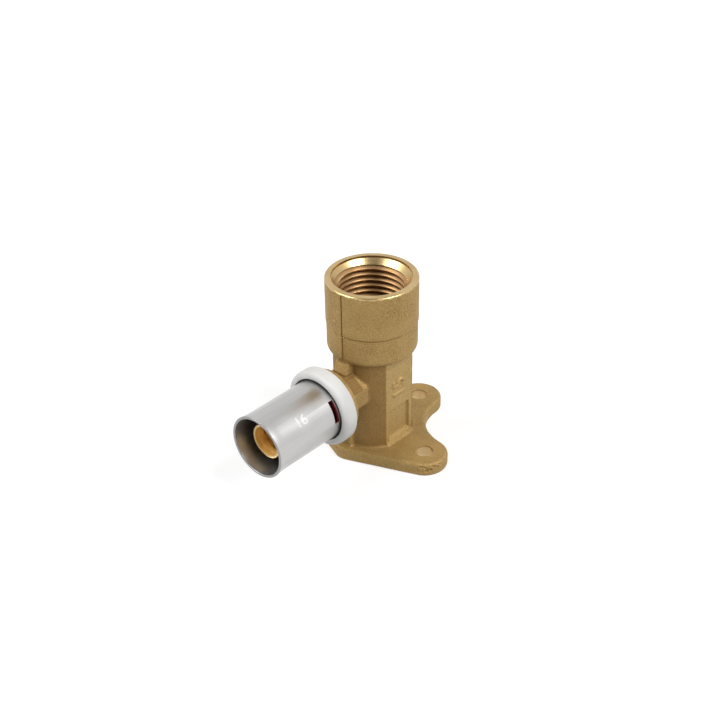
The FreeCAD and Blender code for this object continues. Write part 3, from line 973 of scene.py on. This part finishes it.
class ELBOW_OT_cut_thread(bpy.types.Operator):
    """Wind the thread's turns in the socket and trim them to the countersink"""

    bl_idname = "elbow.cut_thread"
    bl_label = "Cut thread"

    def execute(self, context):
        forging = context.scene.elbow_forging
        half_pitch = forging.thread_pitch / 2
        sunk = 0.05 * MM
        base = forging.thread_root_radius + sunk
        crest = forging.thread_crest_radius
        start = self.lowest_turn(forging)
        deselect()
        bpy.ops.mesh.primitive_plane_add(size=1, rotation=(math.pi / 2, 0, 0))
        thread = context.object
        thread.name = "socket_thread_turns"
        settle(thread)
        crest_half = CREST_SHARE * half_pitch
        base_half = BASE_SHARE * half_pitch
        for vertex in thread.data.vertices:
            inner = vertex.co.x < 0
            side = 1 if vertex.co.z > 0 else -1
            vertex.co = (crest if inner else base, 0, start + side * (crest_half if inner else base_half))
        edit_all(thread)
        bpy.ops.mesh.delete(type="ONLY_FACE")
        bpy.ops.object.mode_set(mode="OBJECT")
        for vertex in thread.data.vertices:
            vertex.select = vertex.co.x < (crest + base) / 2
        bpy.ops.object.mode_set(mode="EDIT")
        bpy.ops.mesh.bevel(offset=CREST_ROUNDING, segments=3, affect="VERTICES")
        turns = int((forging.thread_length - half_pitch) / forging.thread_pitch)
        modify(thread, "SCREW", axis="Z", angle=2 * math.pi, screw_offset=forging.thread_pitch,
               iterations=turns, steps=TAIL_POINTS, render_steps=TAIL_POINTS, use_merge_vertices=False)
        edit_all(thread)
        bpy.ops.mesh.select_all(action="DESELECT")
        bpy.ops.mesh.select_non_manifold(extend=False)
        bpy.ops.mesh.fill_holes(sides=0)
        clean_mesh(thread)
        cut(thread, self.countersink_cutter(forging))
        smooth(thread, degrees=35)
        finishes = context.scene.elbow_finishes
        # Painted shade: the thread takes the darker brass.
        colours = (finishes.threaded_shade_dark, finishes.threaded_shade)
        thread_shade_finish = turned_brass("cut_thread", Z_AXIS, colours, finishes.threaded_roughness)
        finish(thread, "brass", thread_shade_finish, bpy.data.materials["turned_socket"])
        self.mark_trimmed(thread, forging)
        return {"FINISHED"}

    def mark_trimmed(self, thread, forging):
        """Gives the countersink's finish to the ends of the turns that it trims."""
        near = 0.03 * MM
        for face in thread.data.polygons:
            middle = face.center
            cone = self.countersink_height(forging, math.hypot(middle.x, middle.y))
            if abs(middle.z - cone) < near:
                face.material_index = TURNED

    def countersink_height(self, forging, out):
        """Height of the countersink's cone at a distance from the socket's axis."""
        top = forging.overall_height - forging.countersink_step
        depth = forging.countersink_depth - forging.countersink_step
        slope = depth / (forging.countersink_radius - forging.thread_root_radius)
        return top - (forging.countersink_radius - out) * slope

    def lowest_turn(self, forging):
        """Height at which the screw starts on +X, so that the first crest comes where it shows."""
        half_pitch = forging.thread_pitch / 2
        turn = (forging.first_crest_azimuth - math.pi / 2) / (2 * math.pi)
        height = forging.overall_height - forging.first_crest - turn * forging.thread_pitch
        lowest = forging.overall_height - forging.thread_length + half_pitch
        turns = math.floor((height - lowest) / forging.thread_pitch)
        return height - turns * forging.thread_pitch

    def countersink_cutter(self, forging):
        over = 1.0 * MM
        outer = forging.countersink_radius + over
        return turned("countersink_cutter", [
            (BLUNT, self.countersink_height(forging, BLUNT)),
            (outer, self.countersink_height(forging, outer)),
            (outer, forging.overall_height - forging.countersink_step + 4 * over),
        ], SOCKET_POINTS, True)


class ELBOW_OT_turn_tail(bpy.types.Operator):
    """Turn the pipe tail with its hub, seal grooves, barbs and bore"""

    bl_idname = "elbow.turn_tail"
    bl_label = "Turn tail"

    def execute(self, context):
        tail = context.scene.elbow_tail
        start = tail.collar_front - tail.root
        hub_front = tail.collar_front + tail.hub_length
        floor = tail.radius - tail.groove_depth
        outline = [
            (tail.bore_radius, start),
            (tail.hub_radius, start),
            (tail.hub_radius, hub_front),
            (tail.radius, hub_front),
        ]
        for groove in groove_starts(tail):
            groove_end = groove + tail.groove_width
            outline += [(tail.radius, groove), (floor, groove)]
            outline += [(floor, groove_end), (tail.radius, groove_end)]
        barbs_end = tail.end - tail.tip_length
        for index in range(tail.barb_count):
            barb = barbs_end - (tail.barb_count - index) * tail.barb_length
            outline += [(tail.radius, barb), (tail.radius - tail.barb_height, barb + tail.barb_length)]
        outline += [
            (tail.tip_radius, tail.end),
            (tail.mouth_radius, tail.end),
            (tail.mouth_radius, tail.end - tail.mouth_depth),
            (tail.bore_radius, tail.end - tail.mouth_depth - tail.mouth_slope),
        ]
        piece = turned("pipe_tail", outline, TAIL_POINTS, False)
        flattest = math.radians(30)
        modify(piece, "BEVEL", width=tail.edge, segments=2, limit_method="ANGLE", angle_limit=flattest)
        lay_on_tail(piece, tail)
        smooth(piece, degrees=35)
        finishes = context.scene.elbow_finishes
        colours = (finishes.turned_dark, finishes.turned)
        bright = turned_brass("turned_tail", Y_AXIS, colours, finishes.turned_roughness)
        finish(piece, "brass", bright, stained_stop(finishes), bored_brass(finishes))
        self.mark_finishes(piece, tail)
        return {"FINISHED"}

    def mark_finishes(self, piece, tail):
        """Paints the red-brown shade on the tail between hub and first groove, seen in the windows, and
        marks the counterbore, whose lighter brass is painted light.
        """
        hub_front = tail.collar_front + tail.hub_length - tail.edge
        mouth_start = tail.end - tail.mouth_depth
        for face in piece.data.polygons:
            middle = face.center
            out = from_tail_axis(middle, tail)
            if hub_front < -middle.y < groove_starts(tail)[0] and out > tail.radius - tail.edge:
                face.material_index = WINDOW_SHADE
            elif -middle.y > mouth_start and out < tail.mouth_radius + tail.edge / 2:
                face.material_index = BORED


def groove_starts(tail):
    front = tail.end - tail.groove_setback
    return [front - tail.groove_spacing, front]


class ELBOW_OT_seat_seals(bpy.types.Operator):
    """Seat a moulded rubber seal in each groove of the tail"""

    bl_idname = "elbow.seat_seals"
    bl_label = "Seat seals"

    def execute(self, context):
        tail = context.scene.elbow_tail
        rubber = seal_rubber(context.scene.elbow_finishes)
        section = tail.seal_section / 2
        middle = tail.radius - tail.groove_depth + tail.seal_clearance + section
        for name, groove in zip(("rear_o_ring", "front_o_ring"), groove_starts(tail)):
            deselect()
            bpy.ops.mesh.primitive_torus_add(
                major_radius=middle, minor_radius=section, major_segments=TAIL_POINTS, minor_segments=24,
                location=(0, 0, groove + tail.groove_width / 2))
            seal = context.object
            seal.name = name + "_moulded"
            settle(seal)
            self.mould_line(seal, tail, middle + section)
            lay_on_tail(seal, tail)
            smooth(seal, degrees=50)
            finish(seal, "seal_rubber", rubber)
            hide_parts(name)
        return {"FINISHED"}

    def mould_line(self, seal, tail, outer):
        """Raises the thin line where the two halves of the mould met."""
        near = 0.01 * MM
        for vertex in seal.data.vertices:
            vertex.select = math.hypot(vertex.co.x, vertex.co.y) > outer - near
        for edge in seal.data.edges:
            edge.select = all(seal.data.vertices[index].select for index in edge.vertices)
        for face in seal.data.polygons:
            face.select = False
        bpy.ops.object.mode_set(mode="EDIT")
        bpy.ops.mesh.bevel(offset=tail.seal_flash, segments=2, affect="EDGES")
        bpy.ops.object.mode_set(mode="OBJECT")


class ELBOW_OT_make_sleeve(bpy.types.Operator):
    """Make the press sleeve with its rounded lip, sight windows and etched number"""

    bl_idname = "elbow.make_sleeve"
    bl_label = "Make sleeve"

    def execute(self, context):
        sleeve = context.scene.elbow_sleeve
        tail = context.scene.elbow_tail
        finishes = context.scene.elbow_finishes
        inner = sleeve.radius - sleeve.wall
        lip = sleeve.lip
        outline = arc((inner + lip, sleeve.seat + lip), lip, 180, 270, 4)
        outline += arc((sleeve.radius - lip, sleeve.seat + lip), lip, 270, 360, 4)
        flare_start = sleeve.mouth - sleeve.flare_length
        bend = flare_start + sleeve.flare_length / 2
        opened = BEND_SHARE * sleeve.flare
        outline += [(sleeve.radius, flare_start), (sleeve.radius + opened, bend)]
        outline += arc((sleeve.radius + sleeve.flare - lip, sleeve.mouth - lip), lip, 0, 90, 5)
        outline += arc((inner + sleeve.flare + lip, sleeve.mouth - lip), lip, 90, 180, 5)
        outline += [(inner + opened, bend), (inner, flare_start)]
        piece = turned("press_sleeve_tube", outline, SLEEVE_POINTS, False)
        lay_on_tail(piece, tail)
        for cutter in self.windows(sleeve, tail):
            cut(piece, cutter)
        smooth(piece, degrees=35)
        tube = satin_steel("satin_steel", (finishes.steel_streak, finishes.steel))
        # Painted shade: darker steel for the lip at the sleeve's mouth.
        lip_shade = satin_steel("cut_steel", (finishes.lip_steel_shade_dark, finishes.cut_steel))
        finish(piece, "steel", tube, bpy.data.materials["stained_stop"], lip_shade)
        self.mark_walls(piece, sleeve, tail)
        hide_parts("press_sleeve")
        mark = self.number(sleeve, tail)
        finish(mark, "steel", etched_steel(finishes))
        return {"FINISHED"}

    def mark_walls(self, piece, sleeve, tail):
        """Paints the windows' walls with the same red-brown shade, and gives the lip at the mouth its darker
        steel, which is painted shade.
        """
        near = 0.03 * MM
        start = sleeve.ring_front + sleeve.window_from_ring
        for face in piece.data.polygons:
            middle = face.center
            out = from_tail_axis(middle, tail)
            in_wall = sleeve.radius - sleeve.wall + near < out < sleeve.radius - near
            if in_wall and start - near < -middle.y < start + sleeve.window_width + near:
                face.material_index = WINDOW_SHADE
            elif -middle.y > sleeve.mouth - sleeve.lip:
                face.material_index = LIP_SHADE

    def windows(self, sleeve, tail):
        """Cutters for the slots just in front of the ring."""
        chord = 2 * sleeve.radius * math.sin(sleeve.window_arc / 2)
        place = sleeve.ring_front + sleeve.window_from_ring + sleeve.window_width / 2
        cutters = []
        for index in range(sleeve.window_count):
            turn = sleeve.window_direction + index * 2 * math.pi / sleeve.window_count
            deselect()
            bpy.ops.mesh.primitive_cube_add(size=1, scale=(chord, sleeve.window_width, 6 * sleeve.wall))
            cutter = bpy.context.object
            settle(cutter)
            for edge in cutter.data.edges:
                ends = [cutter.data.vertices[number].co for number in edge.vertices]
                edge.select = abs(ends[0].z - ends[1].z) > sleeve.wall
            for vertex in cutter.data.vertices:
                vertex.select = False
            for face in cutter.data.polygons:
                face.select = False
            bpy.ops.object.mode_set(mode="EDIT")
            bpy.ops.mesh.select_mode(type="EDGE")
            bpy.ops.mesh.bevel(offset=sleeve.window_corner, segments=4, affect="EDGES")
            bpy.ops.object.mode_set(mode="OBJECT")
            lift = Matrix.Translation((0, 0, sleeve.radius))
            about = Matrix.Rotation(turn, 4, "Y")
            cutter.matrix_world = Matrix.Translation((0, -place, tail.axis_height)) @ about @ lift
            settle(cutter)
            cutters.append(cutter)
        return cutters

    def number(self, sleeve, tail):
        """Etched number that follows the tube, read along its length."""
        piece = raised_text(sleeve.number, sleeve.number_height, sleeve.number_lift)
        piece.name = "sleeve_number"
        edit_all(piece)
        bpy.ops.mesh.quads_convert_to_tris()
        bpy.ops.mesh.subdivide(number_cuts=3)
        bpy.ops.object.mode_set(mode="OBJECT")
        for vertex in piece.data.vertices:
            turn = sleeve.number_direction - vertex.co.y / sleeve.radius
            out = sleeve.radius + vertex.co.z
            along = sleeve.number_place - vertex.co.x
            vertex.co = (out * math.sin(turn), -along, tail.axis_height + out * math.cos(turn))
        clean_mesh(piece)
        smooth(piece, degrees=35)
        return piece


class ELBOW_OT_mould_ring(bpy.types.Operator):
    """Mould the white ring with its rounded front and open mouth"""

    bl_idname = "elbow.mould_ring"
    bl_label = "Mould ring"

    def execute(self, context):
        sleeve = context.scene.elbow_sleeve
        tail = context.scene.elbow_tail
        outer = sleeve.ring_radius
        back_edge = sleeve.ring_back_edge
        rounding = sleeve.ring_rounding
        bore = sleeve.radius + sleeve.ring_clearance
        mouth = sleeve.radius + sleeve.ring_mouth_gap
        edge = sleeve.ring_mouth_edge
        outline = [(sleeve.ring_hub_bore, sleeve.ring_back)]
        outline += arc((outer - back_edge, sleeve.ring_back + back_edge), back_edge, 270, 360, 5)
        outline += arc((outer - rounding, sleeve.ring_front - rounding), rounding, 0, 90, 12)
        outline += arc((mouth + edge, sleeve.ring_front - edge), edge, 90, 180, 4)
        mouth_end = sleeve.ring_front - sleeve.ring_mouth_depth
        outline += [(mouth, mouth_end), (bore, mouth_end), (bore, sleeve.seat)]
        outline.append((sleeve.ring_hub_bore, sleeve.seat))
        piece = turned("moulded_ring", outline, SLEEVE_POINTS, False)
        lay_on_tail(piece, tail)
        smooth(piece, degrees=32)
        finishes = context.scene.elbow_finishes
        finish(piece, "ring_plastic", white_plastic(finishes), ring_recess(finishes))
        near = 0.02 * MM
        # Painted shade: the faces in the ring's mouth take the grey.
        for face in piece.data.polygons:
            middle = face.center
            if from_tail_axis(middle, tail) < mouth + near and -middle.y > mouth_end - near:
                face.material_index = RING_MOUTH_SHADE
        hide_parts("retaining_ring")
        return {"FINISHED"}


class ELBOW_OT_set_stage(bpy.types.Operator):
    """Set the pale floor, the soft light and the camera"""

    bl_idname = "elbow.set_stage"
    bl_label = "Set stage"

    def execute(self, context):
        stage = context.scene.elbow_stage
        self.floor(context, stage)
        self.lights(context, stage)
        self.surroundings(context, stage)
        self.camera(context, stage)
        context.scene.view_settings.view_transform = "Standard"
        return {"FINISHED"}

    def floor(self, context, stage):
        deselect()
        bpy.ops.mesh.primitive_plane_add(size=stage.floor_size)
        floor = context.object
        floor.name = "floor"
        shader = Shader("pale_floor")
        tone = opaque(context.scene.elbow_finishes.floor)
        dust = shader.sheen(shader.noise(scale=40, detail=2), (0.9, 0.95))
        lift = shader.product(shader.background_rays(), stage.floor_lift)
        floor.data.materials.append(shader.finish(
            Base_Color=tone, Roughness=dust, Specular_IOR_Level=0.0, Emission_Color=(1, 1, 1, 1),
            Emission_Strength=lift))

    def lights(self, context, stage):
        """One large light on each side."""
        for side in ("left", "right"):
            deselect()
            bpy.ops.object.light_add(type="SUN")
            light = context.object
            light.name = side + "_light"
            light.data.energy = getattr(stage, side + "_strength")
            light.data.angle = stage.light_spread
            towards = direction(getattr(stage, side + "_azimuth"), getattr(stage, side + "_elevation"))
            light.rotation_euler = towards.to_track_quat("Z", "Y").to_euler()

    def surroundings(self, context, stage):
        """White all round, with the dark opening of a light tent where the camera stands."""
        world = bpy.data.worlds.new("white_surroundings")
        context.scene.world = world
        shader = NodeMaker(world)
        ahead = direction(stage.azimuth, stage.opening_elevation)
        ray = shader.node("TexCoord", {}).outputs["Generated"]
        towards = shader.node("VectorMath", {0: ray, 1: ahead}, operation="DOT_PRODUCT").outputs["Value"]
        inner, outer = math.cos(stage.opening_inner), math.cos(stage.opening_outer)
        opening = shader.spread(towards, outer, inner, 1.0, stage.opening_strength)
        height = shader.node("SeparateXYZ", {"Vector": ray}).outputs["Z"]
        low, high = math.sin(stage.tent_low), math.sin(stage.tent_high)
        walls = shader.spread(height, low, high, 1.0, stage.roof_strength)
        tent = shader.product(walls, opening)
        path = shader.node("LightPath", {}).outputs
        reflected = shader.spread(path["Is Glossy Ray"], 0.0, 1.0, stage.fill_strength, tent)
        direct = shader.maths("MAXIMUM", path["Is Camera Ray"], path["Is Transmission Ray"])
        strength = shader.spread(direct, 0.0, 1.0, reflected, 1.0)
        shader.put(shader.nodes["Background"].inputs["Strength"], strength)
        shader.nodes["Background"].inputs["Color"].default_value = (1, 1, 1, 1)

    def camera(self, context, stage):
        back = direction(stage.azimuth, stage.elevation)
        level = Vector((math.cos(stage.azimuth), math.sin(stage.azimuth), 0))
        upright = back.cross(level)
        right = level * math.cos(stage.roll) + upright * math.sin(stage.roll)
        up = upright * math.cos(stage.roll) - level * math.sin(stage.roll)
        place = back * stage.distance - right * stage.origin_right + up * stage.origin_down
        deselect()
        bpy.ops.object.camera_add()
        camera = context.object
        camera.name = "camera"
        columns = Matrix((right, up, back)).transposed().to_4x4()
        camera.matrix_world = Matrix.Translation(place) @ columns
        camera.data.lens = stage.lens
        camera.data.clip_start = 10 * MM
        context.scene.camera = camera


def direction(azimuth, elevation):
    """Unit vector towards a place round the part, from -Y towards +X and up."""
    flat = math.cos(elevation)
    return Vector((math.sin(azimuth) * flat, -math.cos(azimuth) * flat, math.sin(elevation)))


OPERATORS = (
    ELBOW_OT_forge_body,
    ELBOW_OT_cut_thread,
    ELBOW_OT_turn_tail,
    ELBOW_OT_seat_seals,
    ELBOW_OT_make_sleeve,
    ELBOW_OT_mould_ring,
    ELBOW_OT_set_stage,
)


class ELBOW_PT_panel(bpy.types.Panel):
    """Sidebar panel that lists the elbow's pieces"""

    bl_idname = "ELBOW_PT_panel"
    bl_label = "Wall plate elbow"
    bl_space_type = "VIEW_3D"
    bl_region_type = "UI"
    bl_category = "Elbow"

    def draw(self, context):
        for operator in OPERATORS:
            self.layout.operator(operator.bl_idname)


GROUPS = {
    "elbow_forging": ForgingSizes,
    "elbow_tail": TailSizes,
    "elbow_sleeve": SleeveSizes,
    "elbow_finishes": Finishes,
    "elbow_stage": StageSettings,
}


def register():
    for name, group in GROUPS.items():
        bpy.utils.register_class(group)
        setattr(bpy.types.Scene, name, PointerProperty(type=group))
    for operator in OPERATORS:
        bpy.utils.register_class(operator)
    bpy.utils.register_class(ELBOW_PT_panel)


def unregister():
    bpy.utils.unregister_class(ELBOW_PT_panel)
    for operator in reversed(OPERATORS):
        bpy.utils.unregister_class(operator)
    for name, group in reversed(GROUPS.items()):
        delattr(bpy.types.Scene, name)
        bpy.utils.unregister_class(group)


def main():
    register()
    bpy.ops.elbow.forge_body()
    bpy.ops.elbow.cut_thread()
    bpy.ops.elbow.turn_tail()
    bpy.ops.elbow.seat_seals()
    bpy.ops.elbow.make_sleeve()
    bpy.ops.elbow.mould_ring()
    bpy.ops.elbow.set_stage()
    deselect()


if __name__ == "__main__":
    main()
